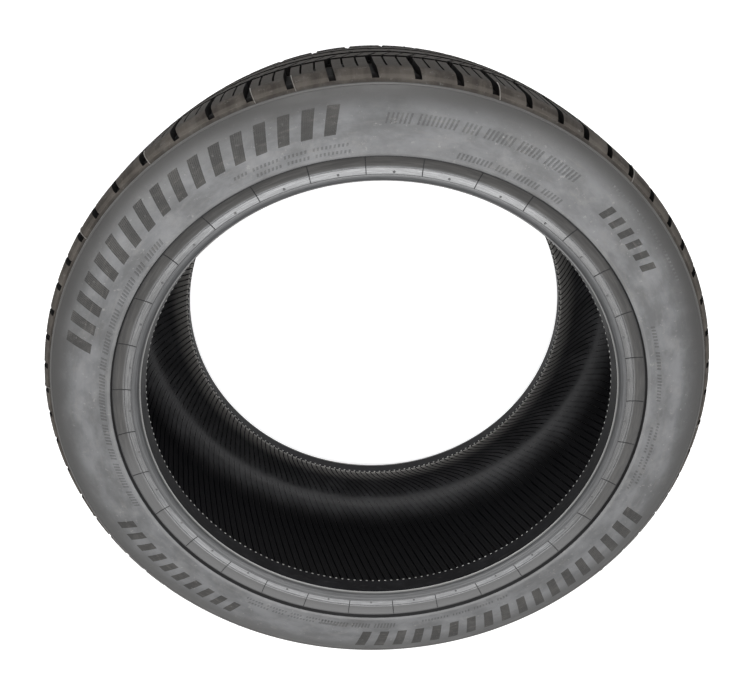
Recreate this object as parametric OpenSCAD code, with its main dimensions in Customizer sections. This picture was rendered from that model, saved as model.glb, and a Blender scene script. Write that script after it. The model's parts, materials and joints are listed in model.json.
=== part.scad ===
// Car tyre of size 275/40 R20, off its rim and unloaded.
// It lies on one sidewall: the axle line is Z, and the origin is the centre of the tyre.
// A point of the section is [radius, z]. The section is revolved once, then the tread is cut.

/* [Overall size] */
// Diameter of the seat that grips the rim
seat_d = 512.8; // [506:0.1:520]
// Height of the section, from the seat to the crown of the tread
section_h = 107.6; // [90:0.1:125]
// Distance between the outsides of the two bead heels
heel_w = 255; // [240:1:270]
// How far each sidewall stands out past the heel of its bead
side_bulge = 15.5; // [12:0.5:20]
// Radius of the crown, seen across the tread
crown_arc = 1560; // [900:10:3000]

/* [Beads] */
// Length of the straight seat in each bead
seat_l = 8; // [5:0.5:10]
// Length of the slope between the seat and the heel
heel_lead = 2.5; // [1.5:0.1:4]
// Width of a bead from toe to heel
bead_w = 17; // [15:0.5:22]
// How far the toe lies inside the seat
toe_lip = 1; // [0.4:0.1:2]
// Rounding of the heel
heel_round = 6.5; // [5:0.5:8]
// Thickness of the bead behind the rim flange
bead_t = 16; // [13:0.5:19]

/* [Sidewalls] */
// Height of the rim flange face above the seat
flange_h = 15.5; // [13:0.5:18]
// Height of the thin line at the end of the flange face
flange_line_h = 0.5; // [0.2:0.1:0.8]
// Height of the rim protector's edge above the seat
protector_h = 27.6; // [24:0.2:32]
// Depth of the step under the rim protector's edge
protector_step = 4; // [2:0.5:6]
// Width of the flat ring that the tyre lies on
rest_ring_w = 14; // [8:1:20]
// Thickness of the sidewall at its thinnest
side_t = 8.5; // [6:0.5:11]
// How far the raised line on the shoulder lies below the crown
line_drop = 17.3; // [14:0.1:22]
// How far the raised line lies inside the widest part of the sidewall
line_in = 9.2; // [6:0.1:12]
// Height of the raised line
line_h = 0.8; // [0.4:0.1:1.2]
// Width of the raised line at its foot
line_foot_w = 2.4; // [1.6:0.2:4]

/* [Tread] */
// Width of a shoulder, from the edge of the crown to the raised line
shoulder_w = 23.8; // [18:0.2:30]
// Thickness under the tread grooves
under_tread = 8.5; // [7:0.5:11]
// Depth of the circumferential grooves
tread_depth = 8; // [5:0.5:8.5]
// Width of the groove next to the upper shoulder
upper_groove_w = 11; // [8:0.5:14]
// Width of the two grooves beside the centre rib
centre_groove_w = 12; // [8:0.5:15]
// Width of the groove next to the lower shoulder
lower_groove_w = 9; // [6:0.5:12]
// Width of the centre rib
centre_rib_w = 26; // [20:1:30]
// Width of the rib on each side of the centre grooves
middle_rib_w = 25; // [20:1:28]

/* [Tread pitches] */
// Length of a short tread pitch, in degrees before the whole row is fitted
short_pitch = 4.75; // [4.5:0.05:5.0]
// Length of a medium tread pitch
medium_pitch = 5.4; // [5.2:0.05:5.6]
// Length of a long tread pitch
long_pitch = 6.25; // [6.0:0.05:6.5]
// Angle of the first shoulder groove, clockwise from +Y
first_groove_at = 1.4; // [-3:0.1:3]
// Width of a shoulder groove
shoulder_groove_w = 6.6; // [4:0.2:9]
// Depth of a shoulder groove where it ends on the shoulder
shoulder_groove_end = 3; // [2:0.5:5]
// How far a shoulder groove stops short of the raised line
shoulder_groove_stop = 6; // [3:0.5:10]
// How far a shoulder groove leans round the tyre over its length
shoulder_groove_lean = 5.5; // [0:0.5:9]
// Width of the slots across the middle ribs
slot_w = 2.8; // [1.6:0.2:4]
// Depth of the slots across the middle ribs
slot_depth = 5.5; // [3:0.5:7]
// Lean of the slots from the axle line, in degrees
slot_lean = 22; // [10:1:32]

/* [Hidden] */
$fn = 180;

// The order of the pitches round the tyre keeps the tread from humming at one note
pitch_order = str("LLMMMSSSMMSMMLL", "MLLMSSMSMMLLMSSMSSMLMMSSMLLMSMSMLLMSSM", "SSSSSMLLLLLLL");

// Shares of a length
floor_share = 0.9;   // depth of a shoulder groove at its start, of the tread depth
slot_share = 0.75;   // length of a slot, of its rib
notch_share = 0.35;  // length of a notch in the centre rib, of the rib
notch_w_share = 0.8; // width of a notch, of a slot
thin_share = 0.31;   // place of the thinnest wall, between the rest ring and the raised line

// Lengths that shape the curves between the places above
rest_setback = 6;           // between the protector's edge and the ring that the tyre lies on
edge_drop = 1.2;            // how far the protector's edge lies below that ring
side_bend = 14;             // how softly the sidewall leaves the raised line and meets the ring
shoulder_pull = [8.2, 4.5]; // how squarely the shoulder comes down to the raised line
shoulder_ease = 0.55;       // how far the crown runs on before the shoulder turns
heel_set = 1;               // how far the heel stands off the seat
toe_flat = 1;               // width of the toe's face
bead_slope = [8, 4.5];      // direction of the wall behind the bead
chamber_drop = 1.5;         // how far the chamber's crown falls towards the shoulders
chamber_in = 20;            // how far the chamber's crown ends inside the edge of the tread
overrun = 2;                // how far a cutter runs past the surface that it opens
cutter_h = 30;              // how far a cutter reaches out past the tread

outer_r = seat_d / 2 + section_h;
seat_r = seat_d / 2;
heel_z = heel_w / 2;
side_z = heel_z + side_bulge;
toe_z = heel_z - bead_w;
flange_z = heel_z + heel_round;
flange_r = seat_r + flange_h;
protector_r = seat_r + protector_h;
rest_r = protector_r + rest_setback;
line_r = outer_r - line_drop;
line_z = side_z - line_in;
edge_z = line_z - shoulder_w;
inner_crown_r = outer_r - tread_depth - under_tread;

// Grooves round the tyre, each as [place of its middle, width]
centre_at = (centre_rib_w + centre_groove_w) / 2;
middle_at = centre_at + centre_groove_w / 2 + middle_rib_w;
ring_grooves = [
    [-middle_at - lower_groove_w / 2, lower_groove_w],
    [-centre_at, centre_groove_w],
    [centre_at, centre_groove_w],
    [middle_at + upper_groove_w / 2, upper_groove_w]];

function crown(z) = outer_r - crown_arc + sqrt(crown_arc * crown_arc - z * z);

// Points of a cubic curve from a to d that leaves towards b and arrives from c
function curve(a, b, c, d, n) =
    [for (i = [0:n]) let (t = i / n, s = 1 - t)
        s * s * s * a + 3 * s * s * t * b + 3 * s * t * t * c + t * t * t * d];
function flipped(points) = [for (p = points) [p[0], -p[1]]];
function reversed(points) = [for (i = [len(points) - 1:-1:0]) points[i]];
function after_first(points) = [for (i = [1:len(points) - 1]) points[i]];

// A groove's walls lean a little, so that its floor is narrower than its mouth
function ring_groove(at, w) =
    let (a = at - w / 2, b = at + w / 2, lean = w / 8)
    [[crown(a), a], [crown(at) - tread_depth, a + lean],
     [crown(at) - tread_depth, b - lean], [crown(b), b]];

// The crown of one shoulder block, from the edge of the tread to its groove
function crown_part(from, to) = [for (i = [0:2]) let (z = from + i * (to - from) / 3) [crown(z), z]];

function tread_profile() = concat(
    crown_part(-edge_z, ring_grooves[0][0] - lower_groove_w / 2),
    [for (g = ring_grooves) for (p = ring_groove(g[0], g[1])) p],
    reversed(crown_part(edge_z, ring_grooves[3][0] + upper_groove_w / 2)));

// The outside of one half, from the edge of the crown to the toe of the bead
line_slope = 5 / 8;
function on_line(out, up) = [line_r + out, line_z - out * line_slope + up];
line_foot = line_foot_w / 2;
line_top = line_foot_w / 5;

function shoulder_profile() =
    let (slope = edge_z / crown_arc, turn = line_z - edge_z, end = on_line(line_foot, 0))
    after_first(curve([crown(edge_z), edge_z],
        [crown(edge_z) - slope * turn * shoulder_ease, edge_z + turn * shoulder_ease],
        end + [shoulder_pull[0] - shoulder_pull[1] / 2, -shoulder_pull[1]], end, 8));
function line_profile() = [on_line(line_top, line_h), on_line(-line_top, line_h), on_line(-line_foot, 0)];
function side_profile() =
    let (start = on_line(-line_foot * 1.3, 0), end = [rest_r + rest_ring_w, side_z])
    curve(start, start + side_bend * [-1, 1 / 2], end + [side_bend, 0], end, 9);
function protector_profile() =
    let (edge = [protector_r, side_z - edge_drop], under = edge - [1, protector_step],
         foot = [flange_r, flange_z])
    concat(
        curve([rest_r, side_z], [rest_r - rest_setback / 2, side_z],
            edge + [edge_drop, edge_drop / 2], edge, 4),
        curve(under, [under[0] - protector_step, foot[1] + flange_line_h * 3],
            foot + [protector_step, 0], foot, 5));
function bead_profile() = concat(
    [[flange_r - flange_line_h, flange_z + flange_line_h],
     [flange_r - flange_line_h * 3, flange_z + flange_line_h],
     [flange_r - flange_line_h * 4, flange_z]],
    [for (a = [0:15:90])
        [seat_r + heel_set + heel_round * (1 - sin(a)), heel_z + heel_round * cos(a)]],
    [[seat_r, heel_z - heel_lead], [seat_r, heel_z - heel_lead - seat_l],
     [seat_r - toe_lip, toe_z + toe_flat], [seat_r - toe_lip, toe_z]]);

// The inside of one half, from the toe to the middle of the air chamber's crown
toe_back = [seat_r, toe_z - toe_flat];
bead_back = [flange_r + bead_t / 4, flange_z - bead_t];
thin_at = [rest_r + rest_ring_w + thin_share * (line_r - rest_r - rest_ring_w), side_z - side_t];
chamber_turn = [inner_crown_r - chamber_drop, edge_z - chamber_in];
function inner_profile() = concat(
    curve(toe_back, toe_back + [bead_slope[0], 0], bead_back - bead_slope, bead_back, 4),
    after_first(curve(bead_back, bead_back + bead_slope, thin_at - [side_bend, 0], thin_at, 6)),
    after_first(curve(thin_at, thin_at + [side_bend * 1.3, 0],
        chamber_turn + [-chamber_drop, chamber_in], chamber_turn, 8)),
    [[inner_crown_r - chamber_drop / 4, chamber_turn[1] / 2]]);

function half_profile() = concat(shoulder_profile(), line_profile(), side_profile(),
    protector_profile(), bead_profile(), inner_profile());

module carcass() {
    rotate_extrude()
        polygon(concat(tread_profile(), half_profile(), reversed(flipped(half_profile()))));
}

function pitch(c) = c == "S" ? short_pitch : c == "M" ? medium_pitch : long_pitch;
function total(v, n) = n == 0 ? 0 : v[n - 1] + total(v, n - 1);
pitches = [for (c = pitch_order) pitch(c)];
turn_scale = 360 / total(pitches, len(pitches));
// Places of the pitches, anticlockwise from +X as seen from above
function groove_at(i) = 90 - first_groove_at - turn_scale * total(pitches, i);

// Outline of a shoulder groove, as [round the tyre, along the axle], curving as it nears the shoulder
function groove_line(t, length) = [-shoulder_groove_lean * (2 * t + 3 * t * t * t) / 5, length * t];
module groove_outline(w, length) {
    steps = [0, 0.3, 0.6, 0.8, 1];
    polygon(concat(
        [for (t = steps) groove_line(t, length) - [w / 2, 0]],
        [for (t = reversed(steps)) groove_line(t, length) + [w / 2, 0]]));
}

// A cutter that stands on the floor of a groove and reaches out past the tread
module on_floor(r, z, tilt) {
    translate([r, 0, z])
        rotate([0, tilt, 0])
            rotate([90, 0, 90])
                linear_extrude(height = cutter_h)
                    children();
}

module shoulder_groove(z) {
    floor_r = crown(z) - tread_depth * floor_share;
    length = line_z - shoulder_groove_stop - z;
    end_r = line_r + shoulder_groove_stop * 2 / 3 - shoulder_groove_end;
    on_floor(floor_r, z, -atan((floor_r - end_r) / length))
        groove_outline(shoulder_groove_w, length);
}

// A slot that carries on a shoulder groove's line across a rib, from one height to another
module rib_slot(z_from, z_to, w) {
    middle = (z_from + z_to) / 2;
    half = (z_to - z_from) / 2;
    shift = tan(slot_lean) * half;
    on_floor(crown(z_to) - slot_depth, middle, 0)
        translate([tan(slot_lean) * (middle_at - middle), 0])
            polygon([[shift - w / 2, -half], [shift + w / 2, -half],
                     [w / 2 - shift, half], [-w / 2 - shift, half]]);
}

// What is cut in one pitch of one half: a shoulder groove that starts at z, a slot and a notch
module half_pitch_cuts(z) {
    shoulder_groove(z);
    rib_slot(middle_at - middle_rib_w * slot_share, middle_at + overrun, slot_w);
    rib_slot(centre_rib_w * (1 / 2 - notch_share), centre_rib_w / 2 + overrun, slot_w * notch_w_share);
}

module tyre() {
    color([0.17, 0.17, 0.18])
        difference() {
            carcass();
            for (i = [0:len(pitches) - 1]) {
                rotate([0, 0, groove_at(i)])
                    half_pitch_cuts(ring_grooves[3][0]);
                rotate([180, 0, groove_at(i) - turn_scale * pitches[i] / 2])
                    half_pitch_cuts(-ring_grooves[0][0]);
            }
        }
}

tyre();
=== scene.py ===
# %% [markdown]
# # A low-profile car tyre
# A tyre is moulded in one piece, but its surface comes from several tools. Segments of the mould
# press the tread, two flat plates shape the sidewalls, two rings form the beads, and a rubber
# bladder swells inside to make the liner. The lesson follows them: the casing is spun from one
# closed section, and the tread is laid out flat, cut, and wrapped round it.

# %% Load the fixed frame and read the driving sizes from it
import json
import math

import bmesh
import bpy
from mathutils import Matrix, Vector, geometry


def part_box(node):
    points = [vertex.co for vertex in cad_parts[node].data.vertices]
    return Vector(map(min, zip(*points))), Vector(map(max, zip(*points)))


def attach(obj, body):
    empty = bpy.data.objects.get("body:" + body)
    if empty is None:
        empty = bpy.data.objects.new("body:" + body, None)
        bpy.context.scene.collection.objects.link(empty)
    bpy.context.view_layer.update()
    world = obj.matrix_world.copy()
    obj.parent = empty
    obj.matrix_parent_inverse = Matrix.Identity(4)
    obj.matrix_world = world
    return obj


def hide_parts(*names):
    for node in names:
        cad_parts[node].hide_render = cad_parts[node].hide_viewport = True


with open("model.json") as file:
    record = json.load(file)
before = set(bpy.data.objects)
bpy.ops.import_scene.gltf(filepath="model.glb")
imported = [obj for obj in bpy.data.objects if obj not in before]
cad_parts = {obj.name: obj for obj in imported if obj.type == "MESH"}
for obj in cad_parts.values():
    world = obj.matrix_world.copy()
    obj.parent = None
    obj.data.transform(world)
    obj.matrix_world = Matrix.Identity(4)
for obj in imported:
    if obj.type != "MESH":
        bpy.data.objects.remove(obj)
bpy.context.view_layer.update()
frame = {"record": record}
MM = 0.001
low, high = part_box("tyre")
seat = next(m for m in frame["record"]["mounts"] if m["name"] == "upper_bead_seat")
SEAT_R, SEAT_L = seat["dims"]["r_mm"], seat["dims"]["length_mm"]
SEAT_Z = seat["pos_m"][2] / MM
SECTION_H = 107.6
OUTER_R = SEAT_R + SECTION_H
SIDE_Z = high.z / MM
print(f"tyre: {2 * OUTER_R:.1f} mm across, {2 * SIDE_Z:.1f} mm wide, seat radius {SEAT_R:.1f} mm")
print(f"the frame's own mesh measures {(high.x - low.x) / MM:.1f} mm across")

# %% [markdown]
# ## The section
# Everything round about the tyre follows from its section, drawn as [radius, height] in
# millimetres. Smooth stretches are Bezier curves between named points, so that the sidewall
# flows from the raised shoulder line to the flat ring that the tyre lies on, and the flange
# stretch curves in under the rim protector as a real one does.

# %% Named points of the section
CROWN_ARC = 1560.0
EDGE_Z = 110.0
LINE_R, LINE_Z, LINE_H = 346.7, 133.8, 0.8
PROTECTOR_R = SEAT_R + 27.6
REST_R, REST_W = PROTECTOR_R + 6.0, 14.0
FLANGE_R = SEAT_R + 15.5
HEEL_Z, HEEL_ROUND = SEAT_Z + SEAT_L / 2 + 2.5, 6.5
FLANGE_Z = HEEL_Z + HEEL_ROUND
TOE_Z = HEEL_Z - 17.0
TREAD_DEPTH, UNDER_TREAD = 8.0, 8.5
INNER_R = OUTER_R - TREAD_DEPTH - UNDER_TREAD


def crown(z):
    """Radius of the crown at height z."""
    return OUTER_R - CROWN_ARC + math.sqrt(CROWN_ARC ** 2 - z * z)


def curve(a, b, c, d, steps):
    """Points of a Bezier curve from a to d with handles b and c."""
    flat = [Vector((p[0], p[1], 0.0)) for p in (a, b, c, d)]
    return [(p.x, p.y) for p in geometry.interpolate_bezier(*flat, steps + 1)]


def shoulder(steps):
    """The turn from the crown down to the foot of the raised shoulder line."""
    turn = LINE_Z - EDGE_Z
    slope = EDGE_Z / CROWN_ARC
    return curve((crown(EDGE_Z), EDGE_Z), (crown(EDGE_Z) - slope * turn * 0.55, EDGE_Z + turn * 0.55),
                 (LINE_R + 7.0, LINE_Z - 5.0), (LINE_R + 1.2, LINE_Z - 0.8), steps)


# %% Outside and inside of one half of the casing
def sidewall():
    """From the raised shoulder line over the side to the edge of the rim protector."""
    line = [(LINE_R + 0.5, LINE_Z - 0.2 + LINE_H), (LINE_R - 0.5, LINE_Z + 0.3 + LINE_H),
            (LINE_R - 1.2, LINE_Z + 0.7)]
    side = curve((LINE_R - 1.6, LINE_Z + 0.9), (LINE_R - 14.0, LINE_Z + 7.0),
                 (REST_R + REST_W + 14.0, SIDE_Z), (REST_R + REST_W, SIDE_Z), 26)
    rest = [(REST_R + REST_W * k / 3, SIDE_Z) for k in (2, 1)]
    lip = curve((REST_R, SIDE_Z), (REST_R - 3.0, SIDE_Z),
                (PROTECTOR_R + 1.5, SIDE_Z - 0.5), (PROTECTOR_R, SIDE_Z - 1.2), 8)
    return line + side + rest + lip


def ring_line(r, z, height, width):
    """A fine raised line round a bead, left by the joint of two mould rings."""
    return [(r + width, z), (r + width * 0.4, z + height), (r - width * 0.4, z + height), (r - width, z)]


def flange_face():
    """The hollow under the rim protector and the flat ring that the rim's flange presses on."""
    return curve((PROTECTOR_R - 1.0, SIDE_Z - 5.2), (PROTECTOR_R - 6.0, FLANGE_Z + 2.0),
                 (FLANGE_R + 1.0, FLANGE_Z), (FLANGE_R - 6.0, FLANGE_Z), 20)


def bead():
    """From under the rim protector over the flange face and the heel to the toe."""
    lines = ring_line(SEAT_R + HEEL_ROUND + 1.8, FLANGE_Z, 0.3, 0.35)
    heel = [(SEAT_R + 1.0 + HEEL_ROUND * (1 - math.sin(math.radians(a))),
             HEEL_Z + HEEL_ROUND * math.cos(math.radians(a))) for a in range(0, 91, 9)]
    seat = [(SEAT_R + 0.35, HEEL_Z - 0.6), (SEAT_R, HEEL_Z - 2.5), (SEAT_R, HEEL_Z - 2.5 - SEAT_L),
            (SEAT_R - 1.0, TOE_Z + 1.0), (SEAT_R - 1.0, TOE_Z)]
    face = flange_face()
    k = next(i for i, point in enumerate(face) if point[0] < FLANGE_R)
    face[k:k] = ring_line(*face[k], 0.35, 0.4)[:3]
    return face + lines + heel + seat


def liner(steps, sunk=0.0):
    """From the toe over the inside of the sidewall to the middle of the chamber."""
    toe = (SEAT_R, TOE_Z - 1.0 + sunk)
    back = (FLANGE_R + 4.0, FLANGE_Z - 16.0 + sunk)
    thin = (317.2, SIDE_Z - 8.5 + sunk)
    turn = (INNER_R - 1.5 + sunk, EDGE_Z - 20.0)
    points = curve(toe, (toe[0] + 8.0, toe[1]), (back[0] - 8.0, back[1] - 4.5), back, steps)
    points += curve(back, (back[0] + 8.0, back[1] + 4.5), (thin[0] - 14.0, thin[1]), thin, 2 * steps)[1:]
    points += curve(thin, (thin[0] + 18.2, thin[1]), (turn[0] - 1.5, turn[1] + 20.0), turn, 3 * steps)[1:]
    return points + [(INNER_R - 0.4 + sunk, turn[1] / 2)]


print("section points in one half:", len(shoulder(14)) + len(sidewall()) + len(bead()) + len(liner(4)))

# %% [markdown]
# ## Helpers
# Each piece is a bmesh that becomes an object at the origin, with its place in its mesh. Edges
# where two faces meet at a clear angle stay sharp, and all others shade smoothly. A closed solid
# is tested: no open edge, and a positive volume, which says that its faces point outwards.

# %% From a bmesh to a finished piece
SHARP_ANGLE = math.radians(32)


def verts_of(made):
    """The vertices among what an operator made."""
    return [v for v in made["geom"] if isinstance(v, bmesh.types.BMVert)]


def to_mesh(bm, name):
    """A mesh from a bmesh, which is freed."""
    mesh = bpy.data.meshes.new(name)
    bm.to_mesh(mesh)
    bm.free()
    return mesh


def finish(bm, name, material_names):
    """Turns a closed bmesh in metres into an object that rides on the tyre's body."""
    bmesh.ops.recalc_face_normals(bm, faces=bm.faces)
    if bm.calc_volume(signed=True) < 0:
        bmesh.ops.reverse_faces(bm, faces=bm.faces)
    for face in bm.faces:
        face.smooth = True
    for edge in bm.edges:
        edge.smooth = len(edge.link_faces) == 2 and edge.calc_face_angle(0.0) < SHARP_ANGLE
    open_edges = sum(1 for e in bm.edges if len(e.link_faces) != 2)
    volume = bm.calc_volume() * 1e6
    mesh = to_mesh(bm, name)
    triangles = sum(len(p.vertices) - 2 for p in mesh.polygons)
    print(f"{name}: {triangles} triangles, {open_edges} open edges, {volume:.0f} ml")
    piece = bpy.data.objects.new(name, mesh)
    bpy.context.scene.collection.objects.link(piece)
    for material_name in material_names:
        material = bpy.data.materials.get(material_name) or bpy.data.materials.new(material_name)
        mesh.materials.append(material)
    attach(piece, "root")
    return piece


# %% [markdown]
# ## Laying things on the surface
# The tread, the lines and the small marks are all drawn flat, in millimetres: x runs clockwise
# round the tyre, y runs across the section, and z is the height over the surface. A Lay holds one
# stretch of the section and says where a flat point ends up on the tyre, so a straight cut on the
# drawing becomes a groove that follows the curve of the shoulder.

# %% A stretch of the section that flat drawings are wrapped on
NORMAL_REACH = 1.5


class Lay:
    """A stretch of the section, measured along its own length."""

    def __init__(self, points, radius=OUTER_R):
        self.points = points
        self.radius = radius
        self.stations = [0.0]
        for a, b in zip(points, points[1:]):
            self.stations.append(self.stations[-1] + math.dist(a, b))

    def at(self, y):
        """Radius and height of the surface at length y, and its outward normal."""
        k = 0
        while k < len(self.points) - 2 and self.stations[k + 1] < y:
            k += 1
        (r0, z0), (r1, z1) = self.points[k], self.points[k + 1]
        step = self.stations[k + 1] - self.stations[k]
        t = (y - self.stations[k]) / step
        return r0 + (r1 - r0) * t, z0 + (z1 - z0) * t, (z1 - z0) / step, (r0 - r1) / step

    def smooth_normal(self, y):
        """The outward normal at y, averaged over a short way along the stretch."""
        a = self.at(max(self.stations[0], y - NORMAL_REACH))
        b = self.at(min(self.stations[-1], y + NORMAL_REACH))
        normal = Vector((a[2] + b[2], a[3] + b[3])).normalized()
        return normal.x, normal.y

    def length_at(self, r=None, z=None):
        """Length along the stretch at which it reaches a radius or a height."""
        wanted, axis = (r, 0) if r is not None else (z, 1)
        for k, (a, b) in enumerate(zip(self.points, self.points[1:])):
            if (a[axis] - wanted) * (b[axis] - wanted) <= 0 and a[axis] != b[axis]:
                t = (wanted - a[axis]) / (b[axis] - a[axis])
                return self.stations[k] + t * (self.stations[k + 1] - self.stations[k])
        raise ValueError("the stretch does not reach that place")

    def place(self, x, y, h):
        """The point in metres of a flat point; x is in millimetres at this lay's radius."""
        r, z = self.at(y)[:2]
        nr, nz = self.smooth_normal(y)
        angle = math.pi / 2 - x / self.radius
        reach = r + nr * h
        return Vector((reach * math.cos(angle), reach * math.sin(angle), z + nz * h)) * MM


# %% [markdown]
# ## The casing
# One closed section, spun once round the axle: both sidewalls, both beads, and the floors of the
# circumferential grooves. The ribs of the tread stand on it, and the liner covers its inside. The
# tread and the sidewall meet at the raised shoulder line, as on a real tyre, where the tread
# segments of the mould meet its sidewall plates.

# %% Spin the casing
def groove_floor():
    """The crown of the casing: bare between the ribs, and deeper where the shoulder ribs cover it."""
    bare = [(crown(z) - TREAD_DEPTH, z) for z in (0.0, 20.0, 40.0, 62.0)]
    covered = [(crown(z) - TREAD_DEPTH - 4.0, z) for z in (66.0, 85.0, 104.0)]
    return bare + covered + [(LINE_R - 1.0, LINE_Z - 8.0)]


def mirrored(points):
    return [(r, -z) for r, z in reversed(points)]


COVER = 1.2
SPIN_STEPS = 360
upper = groove_floor() + [(LINE_R + 1.15, LINE_Z - 0.85)] + sidewall() + bead()
upper += [(SEAT_R, TOE_Z - 0.2)] + liner(3, COVER)
section = upper + [(INNER_R + COVER, 0.0)] + mirrored(upper[1:])

bm = bmesh.new()
corners = [bm.verts.new((r * MM, 0.0, z * MM)) for r, z in section]
for a, b in zip(corners, corners[1:] + corners[:1]):
    bm.edges.new((a, b))
bmesh.ops.spin(bm, geom=bm.verts[:] + bm.edges[:], cent=(0, 0, 0), axis=(0, 0, 1),
               angle=math.tau, steps=SPIN_STEPS, use_merge=True, use_duplicate=False)
bmesh.ops.remove_doubles(bm, verts=bm.verts, dist=0.01 * MM)
ZONES = ["sidewall_rubber", "flange_rubber", "bead_rubber", "heel_rubber", "seat_rubber", "tread_rubber"]


def zone(face):
    """The finish of a face of the casing, from where it lies on the section."""
    centre = face.calc_center_median() / MM
    r, z = math.hypot(centre.x, centre.y), abs(centre.z)
    if r > LINE_R + 1.2:
        return "tread_rubber"
    if r > PROTECTOR_R + 0.1:
        return "sidewall_rubber"
    if r > FLANGE_R + 0.6:
        return "flange_rubber"
    if r > SEAT_R + HEEL_ROUND + 0.6:
        return "bead_rubber"
    return "heel_rubber" if z > HEEL_Z - 1.5 else "seat_rubber"


for face in bm.faces:
    face.material_index = ZONES.index(zone(face))
casing = finish(bm, "casing", ZONES)
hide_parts("tyre")

# %% [markdown]
# ## The tread ribs
# A mould maker draws the tread flat, one pitch at a time, in three lengths, and the order of the
# lengths round the tyre keeps it from humming at one note. The lesson does the same. A strip
# holds one pitch of one rib, with its grooves, slots and sipes sunk into it. Strips of the three
# lengths are laid in a row, the row is leaned, and the whole row is wrapped round the casing.

# %% The row of pitches and the stretch that the tread lies on
PITCH_ORDER = "LLMMMSSSMMSMMLLMLLMSSMSMMLLMSSMSSMLMMSSMLLMSMSMLLMSSMSSSSSMLLLLLLL"
PITCH_SHARE = {"S": 4.75, "M": 5.4, "L": 6.25}
FIRST_GROOVE = math.radians(1.4)
TURN = math.tau * OUTER_R
share_sum = sum(PITCH_SHARE[c] for c in PITCH_ORDER)
PITCH = {c: TURN * share / share_sum for c, share in PITCH_SHARE.items()}

half_tread = [(crown(z), z) for z in (0.0, 10.0, 20.0, 30.0, 40.0, 50.0, 61.0, 75.0, 90.0, 100.0)]
half_tread += shoulder(14)
tread_lay = Lay(mirrored(half_tread[1:]) + half_tread)
tread_lay.stations = [s - tread_lay.length_at(z=0.0) for s in tread_lay.stations]
TREAD_END = tread_lay.stations[-1]
print(f"{len(PITCH_ORDER)} pitches of", {c: round(p, 1) for c, p in PITCH.items()},
      f"mm; half the tread is {TREAD_END:.1f} mm long")

# %% [markdown]
# A strip starts as one face with a wall down each side and no bottom. Planes cut it where
# something begins or ends, the faces of each cut are extruded, and their new corners go down to
# its floor. Walls that would close the strip towards the next one are deleted, and so is the part
# of a side wall that a slot opens.

# %% Cut one stretch out of a flat strip
WALL_LEAN = 1.6
RIB_ROOT = 9.6
EPS = 1e-4


def bisect(bm, place, normal, geom=None):
    """Cuts a mesh, or a part of it, along a plane."""
    geom = geom or bm.verts[:] + bm.edges[:] + bm.faces[:]
    bmesh.ops.bisect_plane(bm, geom=geom, plane_co=place, plane_no=normal, dist=1e-5)


def flat_face(length, y_from, y_to):
    """A new bmesh with one flat face, which starts at x = 0."""
    bm = bmesh.new()
    bmesh.ops.create_grid(bm, x_segments=1, y_segments=1, size=0.5)
    bmesh.ops.scale(bm, vec=(length, y_to - y_from, 1.0), verts=bm.verts)
    bmesh.ops.translate(bm, vec=(length / 2, (y_from + y_to) / 2, 0.0), verts=bm.verts)
    return bm


def depth_at(profile, y):
    """Depth of a cut at y; a profile is a list of (y, depth)."""
    for (y0, d0), (y1, d1) in zip(profile, profile[1:]):
        if y <= y1 + EPS:
            return d0 + (d1 - d0) * (y - y0) / (y1 - y0)
    return profile[-1][1]


def side_faces(bm, side, lean):
    """The faces of the wall that goes down from one side of a flat strip."""
    reach = abs(lean) + EPS
    return [f for f in bm.faces if abs(f.normal.y) > 0.7 and all(abs(v.co.y - side) < reach for v in f.verts)]


def sink(bm, length, leans, x0, x1, profile):
    """Sinks the faces between x0 and x1 to the floor that the profile gives."""
    first, last = profile[0][0], profile[-1][0]
    opened = {side: depth_at(profile, side) for side in leans if first - EPS <= side <= last + EPS}
    for side, depth in opened.items():
        wall = side_faces(bm, side, leans[side])
        part = {v for f in wall for v in f.verts} | {e for f in wall for e in f.edges} | set(wall)
        bisect(bm, (0, 0, -depth), (0, 0, 1), list(part))
    top = []
    for face in bm.faces:
        centre = face.calc_center_median()
        if abs(centre.z) < EPS and x0 < centre.x < x1 and first < centre.y < last:
            top.append(face)
    for vert in verts_of(bmesh.ops.extrude_face_region(bm, geom=top)):
        depth = depth_at(profile, vert.co.y)
        vert.co.z -= depth
        for side in opened:
            if abs(vert.co.y - side) < EPS:
                vert.co.y += leans[side] * depth / RIB_ROOT
    bm.normal_update()
    gone = {f for f in top if f.is_valid}
    for face in bm.faces:
        if any(all(abs(v.co.x - border) < EPS for v in face.verts) for border in (0.0, length)):
            gone.add(face)
    for side, depth in opened.items():
        for face in side_faces(bm, side, leans[side]):
            centre = face.calc_center_median()
            if x0 < centre.x < x1 and centre.z > -depth - EPS:
                gone.add(face)
    bmesh.ops.delete(bm, geom=list(gone), context="FACES")
    bmesh.ops.remove_doubles(bm, verts=bm.verts, dist=0.005)


# %% One pitch of a rib, drawn flat
LONGEST_FACE = 13.0
RIM_ANGLE = math.radians(40)
GROOVE_DARK = 1.0


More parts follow.
